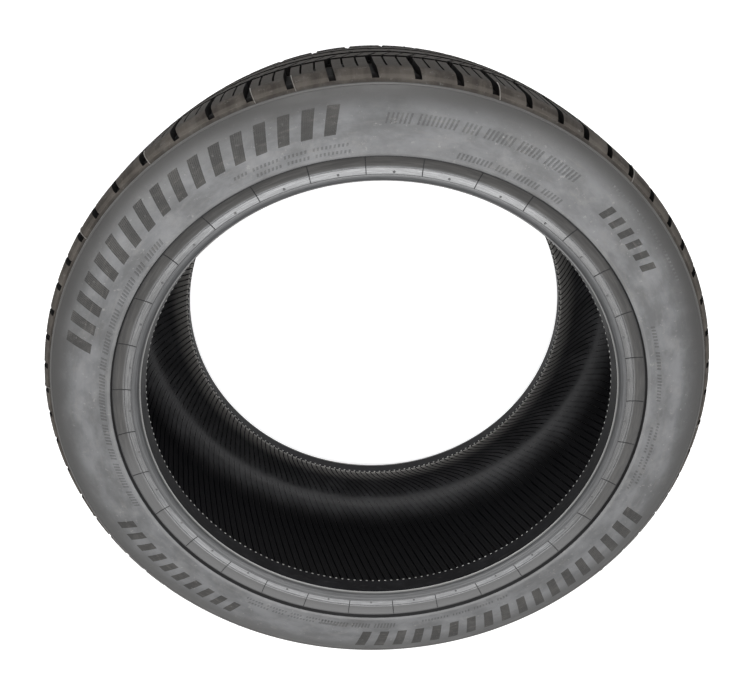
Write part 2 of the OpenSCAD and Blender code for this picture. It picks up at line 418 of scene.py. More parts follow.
def flat_strip(length, leans, rows, cuts):
    """A flat pitch of a rib between its two sides; leans says how far each side wall leans out."""
    y_from, y_to = leans
    bm = flat_face(length, y_from, y_to)
    for side, lean in leans.items():
        rim = [e for e in bm.edges if all(abs(v.co.y - side) < EPS for v in e.verts)]
        foot = verts_of(bmesh.ops.extrude_edge_only(bm, edges=rim))
        bmesh.ops.translate(bm, vec=(0.0, lean, -RIB_ROOT), verts=foot)
    columns = sorted({x for cut in cuts for x in cut[:2]} | {0.0, length})
    for a, b in zip(columns[:-1], columns[1:]):
        parts = math.ceil((b - a) / LONGEST_FACE)
        columns += [a + (b - a) * k / parts for k in range(1, parts)]
    for x in columns:
        if EPS < x < length - EPS:
            bisect(bm, (x, 0, 0), (1, 0, 0))
    for y in set(rows) | {y for cut in cuts for y, depth in cut[2]}:
        if y_from + EPS < y < y_to - EPS:
            bisect(bm, (0, y, 0), (0, 1, 0))
    bm.normal_update()
    for x0, x1, profile in cuts:
        sink(bm, length, leans, x0, x1, profile)
    bm.normal_update()
    for edge in bm.edges:
        rim = all(abs(v.co.z) < EPS for v in edge.verts) and len(edge.link_faces) == 2
        edge.smooth = not (rim and edge.calc_face_angle() > RIM_ANGLE)
    # Faces deeper than GROOVE_DARK get the near-black groove finish. That is clean rubber, darkened further
    # with painted shade.
    for face in bm.faces:
        face.material_index = 1 if min(v.co.z for v in face.verts) < -GROOVE_DARK else 0
    return bm


# %% A whole rib: strips in a row, leaned, wrapped and closed underneath
RIM_BEVEL = 0.35


def add_strip(ring, strip, x):
    """Adds a flat strip to a row, moved to x."""
    before = len(ring.verts)
    ring.from_mesh(strip)
    ring.verts.ensure_lookup_table()
    bmesh.ops.translate(ring, vec=(x, 0.0, 0.0), verts=ring.verts[before:])


def rib(name, leans, rows, cuts_for, lean_at, start=0.0, drop_at=lambda y: 0.0):
    """A closed ring of blocks; cuts_for gives the cuts of a pitch from its length."""
    ring = bmesh.new()
    strips = {}
    for letter, length in PITCH.items():
        strips[letter] = to_mesh(flat_strip(length, leans, rows, cuts_for(length)), "strip")
    x = start
    for letter in PITCH_ORDER:
        add_strip(ring, strips[letter], x)
        x += PITCH[letter]
    for mesh in strips.values():
        bpy.data.meshes.remove(mesh)
    for vert in ring.verts:
        flat_x, flat_y, height = vert.co
        flat_x += lean_at(flat_y) + FIRST_GROOVE * OUTER_R
        vert.co = tread_lay.place(flat_x, flat_y, height - drop_at(flat_y))
    bmesh.ops.remove_doubles(ring, verts=ring.verts, dist=0.01 * MM)
    rims = [e for e in ring.edges if not e.smooth and len(e.link_faces) == 2]
    bmesh.ops.bevel(ring, geom=rims, offset=RIM_BEVEL * MM, offset_type="OFFSET", segments=1, profile=0.5,
                    affect="EDGES", clamp_overlap=True, material=-1)
    feet = [e for e in ring.edges if len(e.link_faces) == 1]
    bmesh.ops.bridge_loops(ring, edges=feet)
    finish(ring, name, ["tread_rubber", "groove_shade_rubber"])


# %% [markdown]
# The shoulder grooves run out over the shoulder and stop short of the raised line. Two fine sipes
# cut each block from the tread's edge to its ring groove, and the blocks end in a small step, over
# a smooth strip along the raised line. Further in, a slanted slot in the middle rib and a notch in
# the centre rib carry on the line of each shoulder groove. The lower half of the tread is the
# upper half turned round and moved on by half a pitch.

# %% The pattern of the ribs
GROOVE_W, SHOULDER_SIPE_W, SIPE_W, SLOT_W = 6.6, 2.0, 1.4, 2.8
SLOT_DEPTH, SIPE_DEPTH = 5.5, 5.5
CENTRE_EDGE, MIDDLE_START, MIDDLE_END = 13.0, 25.0, 50.0
SHOULDER_START = {1: 61.0, -1: 59.0}
SLOT_LEAN = math.tan(math.radians(22.0))
SHOULDER_LEAN = 5.5
groove_end = tread_lay.length_at(z=LINE_Z - 3.6)
edge_at = tread_lay.length_at(z=EDGE_Z)
BLOCK_END, BLOCK_STEP, STEP_W = TREAD_END - 5.0, 0.6, 0.3


def across(length, side, share, width):
    """Where a cut lies on a pitch: in one stretch, or half at each end when it falls on the border."""
    at = (share if side > 0 else share + 0.5) % 1.0
    if at < EPS:
        return [(0.0, width / 2), (length - width / 2, length)]
    return [(at * length - width / 2, at * length + width / 2)]


def turned(profile, side):
    """A profile as it lies on the upper half (1) or on the lower half (-1)."""
    return profile if side > 0 else [(-y, depth) for y, depth in reversed(profile)]


def sipe_cuts(length, side, profile, width):
    """Two sipes that divide a pitch in three."""
    return [(x0, x1, profile) for share in (1 / 3, 2 / 3) for x0, x1 in across(length, side, share, width)]


def shoulder_cuts(length, side):
    """One groove over the shoulder and two sipes."""
    start = SHOULDER_START[side]
    groove = turned([(start, 7.2), (edge_at - 8.0, 7.6), (groove_end - 3.0, 5.2), (groove_end, 3.4)], side)
    sipe = turned([(start, SIPE_DEPTH), (edge_at + 2.0, 3.5)], side)
    cuts = [(x0, x1, groove) for x0, x1 in across(length, side, 0.0, GROOVE_W)]
    return cuts + sipe_cuts(length, side, sipe, SHOULDER_SIPE_W)


def middle_cuts(length, side):
    """One slot across three quarters of the rib and two sipes."""
    reach = MIDDLE_END - 0.75 * (MIDDLE_END - MIDDLE_START)
    slot = turned([(reach, SLOT_DEPTH), (MIDDLE_END, SLOT_DEPTH)], side)
    sipe = turned([(MIDDLE_START + 4.0, SIPE_DEPTH), (MIDDLE_END, SIPE_DEPTH)], side)
    cuts = [(x0, x1, slot) for x0, x1 in across(length, side, 0.0, SLOT_W)]
    return cuts + sipe_cuts(length, side, sipe, SIPE_W)


def centre_cuts(length):
    """A notch in each edge of the centre rib."""
    notch = [(0.3 * CENTRE_EDGE, SLOT_DEPTH), (CENTRE_EDGE, SLOT_DEPTH)]
    cuts = []
    for side, share in ((1, 0.0), (-1, 1 / 6)):
        cuts += [(x0, x1, turned(notch, side)) for x0, x1 in across(length, side, share, 0.8 * SLOT_W)]
    return cuts


# %% How the rows lean, and the five ribs
def shoulder_lean(y):
    """How far a shoulder groove leans round the tyre, more and more towards its end."""
    start = (SHOULDER_START[1] + MIDDLE_END) / 2
    t = (abs(y) - start) / (groove_end - start)
    return math.copysign(SHOULDER_LEAN * (0.4 * t + 0.6 * t ** 3), y)


def block_drop(y):
    """How far the surface lies under that of the blocks: it steps down where they end."""
    return BLOCK_STEP * min(1.0, max(0.0, (abs(y) - BLOCK_END) / STEP_W))


def middle_lean(y):
    """The slanted line of the slots, which starts where the shoulder grooves begin."""
    return math.copysign(SLOT_LEAN * (abs(y) - MIDDLE_END), y)


for side, half in ((1, "upper"), (-1, "lower")):
    rows = [y * side for y in tread_lay.stations if SHOULDER_START[side] < y < TREAD_END]
    rows += [BLOCK_END * side, (BLOCK_END + STEP_W) * side]
    start = SHOULDER_START[side]
    shoulder_sides = sorted([(start * side, -WALL_LEAN * side), (TREAD_END * side, 0.0)])
    rib("shoulder_rib_" + half, dict(shoulder_sides), rows, lambda n: shoulder_cuts(n, side), shoulder_lean,
        drop_at=block_drop)
    middle_sides = sorted([(MIDDLE_START * side, -WALL_LEAN * side), (MIDDLE_END * side, WALL_LEAN * side)])
    rib("middle_rib_" + half, dict(middle_sides), [], lambda n: middle_cuts(n, side), middle_lean)
rib("centre_rib", {-CENTRE_EDGE: -WALL_LEAN, CENTRE_EDGE: WALL_LEAN}, [0.0], centre_cuts,
    lambda y: SLOT_LEAN * y, start=-SLOT_LEAN * MIDDLE_END)

# %% [markdown]
# ## The liner
# A rubber bladder presses the inside of a tyre against its mould, and the air escapes through
# fine slanted channels in the bladder's skin. They leave ribs in the liner, with a narrow groove
# between them. One pitch is a strip with two sunk columns, repeated 210 times, turned a little
# more at each step of the section, and closed by a plain wall out of sight in the casing.

# %% A strip of the liner, repeated round the tyre
LINER_PITCHES = 210
MAIN_W, MAIN_DEPTH = 2.4, 1.3
FINE_W, FINE_DEPTH = 1.0, 0.35
SIDE_SLANT, CROWN_SLANT = math.tan(math.radians(33.0)), math.tan(math.radians(20.0))
CROWN_FROM = 341.0

down = liner(4)
liner_lay = Lay(down + [(INNER_R, 0.0)] + mirrored(down))
twist = [0.0]
for (r0, z0), (r1, z1) in zip(liner_lay.points, liner_lay.points[1:]):
    slant = CROWN_SLANT if min(r0, r1) > CROWN_FROM else SIDE_SLANT
    twist.append(twist[-1] + slant * math.dist((r0, z0), (r1, z1)) / min(r0, r1))

strip_w = math.tau * OUTER_R / LINER_PITCHES
bm = flat_face(strip_w, 0.0, liner_lay.stations[-1])
middle = strip_w / 2
for x in (MAIN_W / 2, middle - FINE_W / 2, middle, middle + FINE_W / 2, strip_w - MAIN_W / 2):
    bisect(bm, (x, 0, 0), (1, 0, 0))
for y in liner_lay.stations[1:-1]:
    bisect(bm, (0, y, 0), (0, 1, 0))
for vert in bm.verts:
    if min(vert.co.x, strip_w - vert.co.x) < EPS:
        vert.co.z = -MAIN_DEPTH
    elif abs(vert.co.x - middle) < EPS:
        vert.co.z = -FINE_DEPTH
# The main grooves get a near-black finish, which is painted shade in them.
for face in bm.faces:
    x = face.calc_center_median().x
    face.material_index = 1 if min(x, strip_w - x) < MAIN_W / 2 else 0
one = to_mesh(bm, "strip")

# %% Wrap the strips and close the liner behind
ring = bmesh.new()
for k in range(LINER_PITCHES):
    add_strip(ring, one, k * strip_w)
bpy.data.meshes.remove(one)
turn_at = dict(zip((round(s, 2) for s in liner_lay.stations), twist))
for vert in ring.verts:
    x, y, h = vert.co
    vert.co = liner_lay.place(x + turn_at[round(y, 2)] * OUTER_R, y, h)
bmesh.ops.remove_doubles(ring, verts=ring.verts, dist=0.01 * MM)
front_rims = [e for e in ring.edges if len(e.link_faces) == 1]

hidden = liner(1, COVER + 1.0)
hidden = hidden + [(INNER_R + COVER + 1.0, 0.0)] + mirrored(hidden)
corners = [ring.verts.new((r * MM, 0.0, z * MM)) for r, z in hidden]
wall = [ring.edges.new(pair) for pair in zip(corners, corners[1:])]
made = bmesh.ops.spin(ring, geom=corners + wall, cent=(0, 0, 0), axis=(0, 0, 1), angle=math.tau,
                      steps=LINER_PITCHES, use_merge=True, use_duplicate=False)
known = set(front_rims)
back_rims = [e for e in ring.edges if len(e.link_faces) == 1 and e not in known]
for level in (1, -1):
    both = [e for e in front_rims + back_rims if e.verts[0].co.z * level > 0]
    bmesh.ops.bridge_loops(ring, edges=both)
finish(ring, "liner", ["liner_rubber", "liner_groove_shade"])

# %% [markdown]
# ## What the mould leaves behind
# Where the parts of a mould meet, rubber creeps into the joints: fine radial lines on the bead, a
# thin line beside a block, stubs where air went out. The plates of the sidewall also carry raised
# fields. Here they are plain slanted bars and rows of dashes, the kind of ornament that any tyre
# may have. Each is a flat bar of a few faces, sunk a little into the surface it lies on, and a copy
# of the whole set is turned over for the other side.

# %% A flat bar, and a way to lay a set of them on both sides
SUNK = 0.4
BAR_CUT = 6.0


def bar(bm, x, y, width, length, height, slant=0.0, cut=BAR_CUT, draw_in=0.15):
    """A closed flat bar with its middle at (x, y); slant moves its far end along x."""
    parts = [max(1, math.ceil(size / cut)) for size in (width, length)]
    floor = bmesh.ops.create_grid(bm, x_segments=parts[0], y_segments=parts[1], size=0.5)["verts"]
    top = verts_of(bmesh.ops.extrude_face_region(bm, geom=list({f for v in floor for f in v.link_faces})))
    bmesh.ops.scale(bm, vec=(1.0 - 2 * draw_in / width, 1.0 - 2 * draw_in / length, 1.0), verts=top)
    bmesh.ops.translate(bm, vec=(0.0, 0.0, 1.0), verts=top)
    bmesh.ops.scale(bm, vec=(width, length, height + SUNK), verts=floor + top)
    for vert in floor + top:
        vert.co.x += slant * vert.co.y / length
    bmesh.ops.translate(bm, vec=(x, y, -SUNK), verts=floor + top)
    return floor + top


def finish_on_both_sides(bm, lay, name, material_name):
    """Wraps a flat set on its stretch, adds a copy turned half a turn round the x axis, finishes both."""
    for vert in bm.verts:
        vert.co = lay.place(*vert.co)
    copied = verts_of(bmesh.ops.duplicate(bm, geom=bm.verts[:] + bm.edges[:] + bm.faces[:]))
    bmesh.ops.rotate(bm, cent=(0, 0, 0), matrix=Matrix.Rotation(math.pi, 3, "X"), verts=copied)
    finish(bm, name, [material_name])


# %% Radial lines and stubs on the bead
BEAD_LINES = 32
TICK_W, TICK_H = 1.0, 0.35
STUB_R = 267.2

face_path = flange_face() + [(SEAT_R + HEEL_ROUND + 1.2, FLANGE_Z - 0.01)]
face_lay = Lay(face_path, radius=FLANGE_R)
y_from, y_to = face_lay.length_at(r=PROTECTOR_R - 1.6), face_lay.length_at(r=FLANGE_R - 6.8)
step = math.tau * FLANGE_R / BEAD_LINES
bm = bmesh.new()
for k in range(BEAD_LINES):
    lean = 1.2 * math.sin(k * 2.4)
    bar(bm, k * step, (y_from + y_to) / 2, TICK_W, y_to - y_from, TICK_H, lean, cut=1.6, draw_in=0.1)
finish_on_both_sides(bm, face_lay, "bead_lines", "mark_rubber")

bm = bmesh.new()
for k in range(BEAD_LINES):
    made = bmesh.ops.create_cone(bm, cap_ends=True, segments=10, radius1=1.5, radius2=1.0, depth=0.7)["verts"]
    bmesh.ops.translate(bm, vec=((k + 0.5) * step, face_lay.length_at(r=STUB_R), 0.1), verts=made)
finish_on_both_sides(bm, face_lay, "bead_stubs", "dash_rubber")

# %% The rib ends along the toe
RIB_END_W, RIB_END_L, RIB_END_H = 2.4, 1.0, 0.45
toe_lay = Lay([(SEAT_R - 1.0, TOE_Z + 3.0), (SEAT_R - 1.0, TOE_Z - 3.0)], radius=SEAT_R)
bm = bmesh.new()
for k in range(LINER_PITCHES):
    bar(bm, k * math.tau * SEAT_R / LINER_PITCHES, 2.9, RIB_END_W, RIB_END_L, RIB_END_H)
finish_on_both_sides(bm, toe_lay, "rib_ends", "rib_end_rubber")

# %% Thin lines beside some of the blocks
LINE_TURNS = (20.5, 44.0, 96.0, 131.0, 168.0, 214.0, 251.0, 277.0, 308.3, 324.8, 343.5, 349.3)
FLASH_W, FLASH_H = 0.8, 0.5
borders = [FIRST_GROOVE * OUTER_R]
for letter in PITCH_ORDER:
    borders.append(borders[-1] + PITCH[letter])
bm = bmesh.new()
for degrees in LINE_TURNS:
    wanted = math.radians(degrees) * OUTER_R
    x = min(borders, key=lambda border: abs(border - wanted)) + GROOVE_W / 2 + 0.7
    length = TREAD_END - 0.5 - edge_at
    made = bar(bm, x, edge_at + length / 2, FLASH_W, length, FLASH_H, cut=1.5)
    for vert in made:
        vert.co.x += shoulder_lean(vert.co.y)
finish_on_both_sides(bm, tread_lay, "shoulder_lines", "flash_rubber")

# %% [markdown]
# The fields of bars lie on the widest part of the sidewall. Each bar is slanted like a stripe, and carries
# fine ridges across it, which catch less light than the smooth rubber. Its darker colour is painted shade for
# the shade between the ridges.
# Smaller rows of dashes run nearer to the rim.

# %% Raised fields on the sidewall
FIELD_H, RIDGE_H, RIDGE_W, RIDGE_STEP = 0.15, 0.4, 0.7, 1.9
FIELD_SLANT, BAR_SHARE = -0.3, 0.52
side_lay = Lay(sidewall()[3:], radius=320.0)


def side_x(degrees):
    return math.radians(degrees) * side_lay.radius


def side_y(r):
    return side_lay.length_at(r=r)


FIELDS = [(289.0, 357.0, 306.0, 332.0, 17), (116.0, 189.0, 306.0, 333.0, 18),
          (216.0, 250.0, 307.0, 325.0, 10), (45.0, 61.0, 306.0, 320.0, 6)]
bm = bmesh.new()
for first, last, r_in, r_out, count in FIELDS:
    step = (side_x(last) - side_x(first)) / count
    y_out, y_in = side_y(r_out), side_y(r_in)
    for k in range(count):
        x = side_x(first) + (k + 0.5) * step
        width, length = step * BAR_SHARE, y_in - y_out
        bar(bm, x, (y_in + y_out) / 2, width, length, FIELD_H, slant=FIELD_SLANT * length)
        ridges = round(width / RIDGE_STEP)
        for i in range(ridges):
            along = x + (i + 0.5 - ridges / 2) * width / ridges
            bar(bm, along, (y_in + y_out) / 2, RIDGE_W, length - 0.4, RIDGE_H, slant=FIELD_SLANT * length)
finish_on_both_sides(bm, side_lay, "side_fields", "field_rubber")

# %% Rows of dashes
DASH_W, DASH_STEP, DASH_H = 2.2, 4.2, 0.28
GROUPS = (6, 9, 4, 7)
ROWS = [(252.0, 276.0, 292.0, 6.0), (279.0, 318.0, 292.0, 6.0), (336.0, 356.0, 296.0, 3.0),
        (340.0, 358.0, 290.0, 3.0), (4.0, 35.0, 318.0, 10.0), (17.0, 38.0, 292.0, 6.0),
        (44.0, 64.0, 334.0, 3.0), (72.0, 84.0, 296.0, 4.5), (95.0, 111.0, 300.0, 3.0),
        (96.0, 112.0, 294.0, 3.0), (152.0, 172.0, 294.0, 3.0), (180.0, 192.0, 296.0, 7.0),
        (194.0, 212.0, 298.0, 2.5), (195.0, 214.0, 293.0, 2.5)]
bm = bmesh.new()
for row, (first, last, r, tall) in enumerate(ROWS):
    x, end, group = side_x(first), side_x(last), row
    while x < end:
        for _ in range(GROUPS[group % len(GROUPS)]):
            bar(bm, x, side_y(r), DASH_W, tall, DASH_H, slant=FIELD_SLANT * tall)
            x += DASH_STEP
        x += DASH_STEP
        group += 1
finish_on_both_sides(bm, side_lay, "side_dashes", "dash_rubber")

# %% [markdown]
# ## The finishes
# Tyre rubber is nearly black, but it never looks it. Oil and wax that bloom to the surface scatter
# light, the mould's own skin gives each zone its gloss, and hands and conveyors leave pale scuffs.
# Most of that follows the wheel, so a group turns a point of the object into its radius and its
# place on a circle, and the patterns are made of those.
# Some of the bands and arcs are painted light and shade rather than rubber, and the comments at each finish
# say which.

# %% A short way to write nodes
class Tree:
    """Builds nodes in one material or group, from left to right."""

    def __init__(self, tree):
        self.nodes, self.links = tree.nodes, tree.links

    def add(self, kind, **settings):
        node = self.nodes.new(kind)
        for key, value in settings.items():
            setattr(node, key, value)
        return node

    def feed(self, socket, value):
        """Links a socket, or sets a plain value."""
        if hasattr(value, "links"):
            self.links.new(value, socket)
        else:
            socket.default_value = (*value, 1.0) if socket.type == "RGBA" else value

    def math(self, operation, a, b):
        node = self.add("ShaderNodeMath", operation=operation)
        self.feed(node.inputs[0], a)
        self.feed(node.inputs[1], b)
        return node.outputs[0]

    def spread(self, value, low_in, high_in, low_out=0.0, high_out=1.0, smooth=False):
        """Maps one range to another, clamped."""
        node = self.add("ShaderNodeMapRange", interpolation_type="SMOOTHSTEP" if smooth else "LINEAR")
        for socket, v in zip(node.inputs, (value, low_in, high_in, low_out, high_out)):
            self.feed(socket, v)
        return node.outputs[0]

    def noise(self, vector, scale, detail, rough):
        node = self.add("ShaderNodeTexNoise")
        self.feed(node.inputs["Vector"], vector)
        node.inputs["Scale"].default_value = scale
        node.inputs["Detail"].default_value = detail
        node.inputs["Roughness"].default_value = rough
        return node.outputs["Fac"]

    def combine(self, x, y, z):
        node = self.add("ShaderNodeCombineXYZ")
        for socket, value in zip(node.inputs, (x, y, z)):
            self.feed(socket, value)
        return node.outputs[0]

    def sized_place(self, size):
        """The point of the object, scaled so that a noise of scale 1 has spots of a size in millimetres."""
        node = self.add("ShaderNodeVectorMath", operation="SCALE")
        self.feed(node.inputs[0], self.add("ShaderNodeTexCoord").outputs["Object"])
        self.feed(node.inputs["Scale"], self.math("DIVIDE", 1.0 / MM, size))
        return node.outputs[0]

    def mix(self, factor, a, b):
        """Mixes two colours."""
        node = self.add("ShaderNodeMix", data_type="RGBA")
        self.feed(node.inputs[0], factor)
        self.feed(node.inputs[6], a)
        self.feed(node.inputs[7], b)
        return node.outputs[2]

    def cover(self, colour, mask, strength, other):
        """Lays another colour over one where a mask is, as strong as given."""
        return self.mix(self.math("MULTIPLY", mask, strength), colour, other)

    def group(self, name, **values):
        node = self.add("ShaderNodeGroup", node_tree=bpy.data.node_groups[name])
        for key, value in values.items():
            self.feed(node.inputs[key], value)
        return node.outputs


def new_group(name, inputs, outputs):
    """An empty shader group with float inputs, given with their values, and float outputs."""
    tree = bpy.data.node_groups.new(name, "ShaderNodeTree")
    for label, value in inputs.items():
        socket = tree.interface.new_socket(label, in_out="INPUT", socket_type="NodeSocketFloat")
        socket.default_value = value
    for label in outputs:
        tree.interface.new_socket(label, in_out="OUTPUT", socket_type="NodeSocketFloat")
    start = tree.nodes.new("NodeGroupInput")
    end = tree.nodes.new("NodeGroupOutput")
    return Tree(tree), start.outputs, end.inputs


# %% Where a point lies on the wheel
g, given, result = new_group("wheel_place", {}, ["Radius", "Height", "Circle X", "Circle Y"])
parts = g.add("ShaderNodeSeparateXYZ")
g.feed(parts.inputs[0], g.add("ShaderNodeTexCoord").outputs["Object"])
length = g.add("ShaderNodeVectorMath", operation="LENGTH")
g.feed(length.inputs[0], g.combine(parts.outputs[0], parts.outputs[1], 0.0))
radius = length.outputs["Value"]
g.feed(result["Radius"], g.math("DIVIDE", radius, MM))
g.feed(result["Height"], g.math("DIVIDE", parts.outputs[2], MM))
g.feed(result["Circle X"], g.math("DIVIDE", parts.outputs[0], radius))
g.feed(result["Circle Y"], g.math("DIVIDE", parts.outputs[1], radius))

# %% Streaks that run round the wheel or across it
g, given, result = new_group("streaks", {"Round": 6.0, "Across": 0.12, "Low": 0.45, "High": 0.7}, ["Mask"])
wheel = g.group("wheel_place")
across_wheel = g.math("ADD", wheel["Radius"], g.math("MULTIPLY", wheel["Height"], 0.7))
vector = g.combine(g.math("MULTIPLY", wheel["Circle X"], given["Round"]),
                   g.math("MULTIPLY", wheel["Circle Y"], given["Round"]),
                   g.math("MULTIPLY", across_wheel, given["Across"]))
value = g.noise(vector, 1.0, 5.0, 0.6)
g.feed(result["Mask"], g.spread(value, given["Low"], given["High"], smooth=True))

# %% Smears that go any way, as hands and belts leave them
g, given, result = new_group("smears", {"Size": 30.0, "Low": 0.5, "High": 0.7}, ["Mask"])
value = g.noise(g.sized_place(given["Size"]), 1.0, 8.0, 0.68)
g.feed(result["Mask"], g.spread(value, given["Low"], given["High"], smooth=True))

# %% A soft band between two radii
g, given, result = new_group("radius_band", {"Inner": 0.0, "Outer": 400.0, "Soft": 2.0}, ["Mask"])
radius = g.group("wheel_place")["Radius"]
rise = g.spread(g.math("SUBTRACT", radius, given["Inner"]), 0.0, given["Soft"], smooth=True)
fall = g.spread(g.math("SUBTRACT", given["Outer"], radius), 0.0, given["Soft"], smooth=True)
g.feed(result["Mask"], g.math("MULTIPLY", rise, fall))

# %% A soft arc of the wheel, whose middle points to (Side, Up)
g, given, result = new_group("wheel_arc", {"Side": 0.0, "Up": 1.0, "Reach": 0.7}, ["Mask"])
wheel = g.group("wheel_place")
along = g.math("ADD", g.math("MULTIPLY", wheel["Circle X"], given["Side"]),
               g.math("MULTIPLY", wheel["Circle Y"], given["Up"]))
g.feed(result["Mask"], g.spread(g.math("SUBTRACT", along, given["Reach"]), 0.0, 0.25, smooth=True))

# %% Fine grain of the mould, as a height in millimetres
g, given, result = new_group("mould_grain", {"Size": 1.2, "Pits": 0.3}, ["Height"])
place = g.sized_place(given["Size"])
fine = g.noise(place, 1.0, 2.0, 0.5)
broad = g.noise(place, 0.22, 3.0, 0.5)
pits = g.math("MULTIPLY", g.spread(broad, 0.62, 0.75, smooth=True), given["Pits"])
g.feed(result["Height"], g.math("SUBTRACT", fine, pits))
print("shared groups:", sorted(tree.name for tree in bpy.data.node_groups))

# %% [markdown]
# One function makes every rubber from its own values: a dark and a pale colour, the gloss and the strength of
# the grain, and then how far the pale film reaches, the dust, and the bands and arcs of other colours, some
# of which are painted light and shade.
# What is the same all over a finish is set on the shader itself.

# %% The rubber finishes
GREY_DARK, GREY_PALE, DUST = (0.1, 0.101, 0.103), (0.165, 0.167, 0.172), (0.2, 0.185, 0.17)
# The sidewall's band colour near the shoulder line is painted shade. The pale wear colour serves for real
# wear, and also for a painted highlight on the raised line. The stain colour is real.
SHOULDER_PAINTED_SHADE, WEAR_AND_HIGHLIGHT, STAIN = (0.04, 0.0389, 0.0378), (0.3, 0.295, 0.285), (0.085, 0.074, 0.064)
# The dark brown is a painted shadow on the strip under the blocks' step.
PALE_BROWN, STEP_SHADOW_BROWN = (0.15, 0.137, 0.122), (0.045, 0.043, 0.041)
# The silver is a painted highlight on the flange face, and the deep colour is a painted shadow in the hollow
# under the rim protector. The joint colour is the dark joints of the mould rings.
FLANGE_HIGHLIGHT, RECESS_SHADOW, JOINT = (0.21, 0.212, 0.216), (0.012, 0.012, 0.013), (0.03, 0.03, 0.031)
# The dull colour is painted shade on the sides of the bead, and the bright colour is a painted highlight at
# its bottom.
SIDE_PAINTED_SHADE, BOTTOM_PAINTED_HIGHLIGHT = (0.075, 0.074, 0.073), (0.36, 0.36, 0.365)
WORN_SIZE, STAIN_SIZE, NICK_SIZE = 28.0, 45.0, 5.0
FADE_W, MATT_SHINE = 9.0, 0.12


def rubber(name, dark, pale, gloss, grain, film=(0.4, 0.7), dust=DUST, dusty=0.3, shine=0.5,
           round_scale=7.0, across_scale=0.05, bands=(), arcs=(), smeared=0.0, matt_from=0.0):
    """A rubber whose film, dust and gloss vary over the surface, with soft bands and arcs of another
    colour. An arc has its middle at a turn in degrees, clockwise from the top, and a half width.

    Beyond the radius matt_from, if it is given, the shine fades away."""
    material = bpy.data.materials.get(name) or bpy.data.materials.new(name)
    material.use_nodes = True
    t = Tree(material.node_tree)
    shader = t.nodes["Principled BSDF"]

    def streaks(finer_round, finer_across, low, high):
        return t.group("streaks", Round=round_scale * finer_round, Across=across_scale * finer_across,
                       Low=low, High=high)["Mask"]

    clouds = streaks(1.0, 1.0, *film)
    rubs = streaks(6.0, 4.0, 0.5, 0.85)
    spots = streaks(2.3, 7.0, 0.52, 0.8)
    colour = t.mix(clouds, dark, pale)
    colour = t.cover(colour, spots, dusty, dust)
    colour = t.cover(colour, rubs, 0.25, pale)
    if smeared:
        worn = t.group("smears", Size=WORN_SIZE, Low=0.5, High=0.72)["Mask"]
        stained = t.group("smears", Size=STAIN_SIZE, Low=0.52, High=0.7)["Mask"]
        nicked = t.group("smears", Size=NICK_SIZE, Low=0.6, High=0.68)["Mask"]
        colour = t.cover(colour, worn, smeared, WEAR_AND_HIGHLIGHT)
        colour = t.cover(colour, stained, smeared * 0.6, STAIN)
        colour = t.cover(colour, nicked, smeared * 2.0, WEAR_AND_HIGHLIGHT)
    for turn, half, strength, other in arcs:
        turn, half = math.radians(turn), math.radians(half)
        arc = t.group("wheel_arc", Side=math.sin(turn), Up=math.cos(turn), Reach=math.cos(half))["Mask"]
        colour = t.cover(colour, arc, strength, other)
    for inner, outer, soft, strength, other in bands:
        band = t.group("radius_band", Inner=inner, Outer=outer, Soft=soft)["Mask"]
        colour = t.cover(colour, band, strength, other)
    t.feed(shader.inputs["Base Color"], colour)
    t.feed(shader.inputs["Roughness"], t.spread(t.math("ADD", clouds, rubs), 0.0, 1.6, gloss[0], gloss[1]))
    shader.inputs["Specular IOR Level"].default_value = shine
    if matt_from:
        radius = t.group("wheel_place")["Radius"]
        fading = t.spread(radius, matt_from, matt_from + FADE_W, shine, MATT_SHINE)
        t.feed(shader.inputs["Specular IOR Level"], fading)
    bump = t.add("ShaderNodeBump")
    bump.inputs["Strength"].default_value = grain
    bump.inputs["Distance"].default_value = 0.25 * MM
    t.feed(bump.inputs["Height"], t.group("mould_grain")["Height"])
    t.feed(shader.inputs["Normal"], bump.outputs[0])


# %% The zones of the casing
# Sidewall: the broad band darkens it towards the raised shoulder line, as painted shade. The thin pale band
# on the raised line is a painted highlight. The smears, stains and nicks are wear.
rubber("sidewall_rubber", GREY_DARK, GREY_PALE, (0.34, 0.56), 0.25, film=(0.35, 0.7), shine=0.35,
       smeared=0.2,
       bands=[(316.0, 380.0, 27.0, 0.96, SHOULDER_PAINTED_SHADE), (LINE_R - 1.3, LINE_R + 1.1, 0.5, 0.12, WEAR_AND_HIGHLIGHT),
              (PROTECTOR_R, PROTECTOR_R + 3.5, 1.0, 0.12, WEAR_AND_HIGHLIGHT)])
# Flange: the deep band is a painted shadow in the hollow under the rim protector, the silver band is a
# painted highlight on the flange face, and the paler arc at the bottom is painted light.
rubber("flange_rubber", (0.031, 0.03, 0.029), (0.056, 0.054, 0.052), (0.32, 0.45), 0.2,
       dusty=0.12, shine=0.32, round_scale=8.0, across_scale=0.35,
       arcs=[(195.0, 78.0, 0.6, (0.11, 0.11, 0.112))],
       bands=[(PROTECTOR_R - 2.6, PROTECTOR_R + 4.0, 1.4, 0.8, RECESS_SHADOW),
              (FLANGE_R - 8.0, FLANGE_R + 2.5, 2.5, 0.4, FLANGE_HIGHLIGHT)])
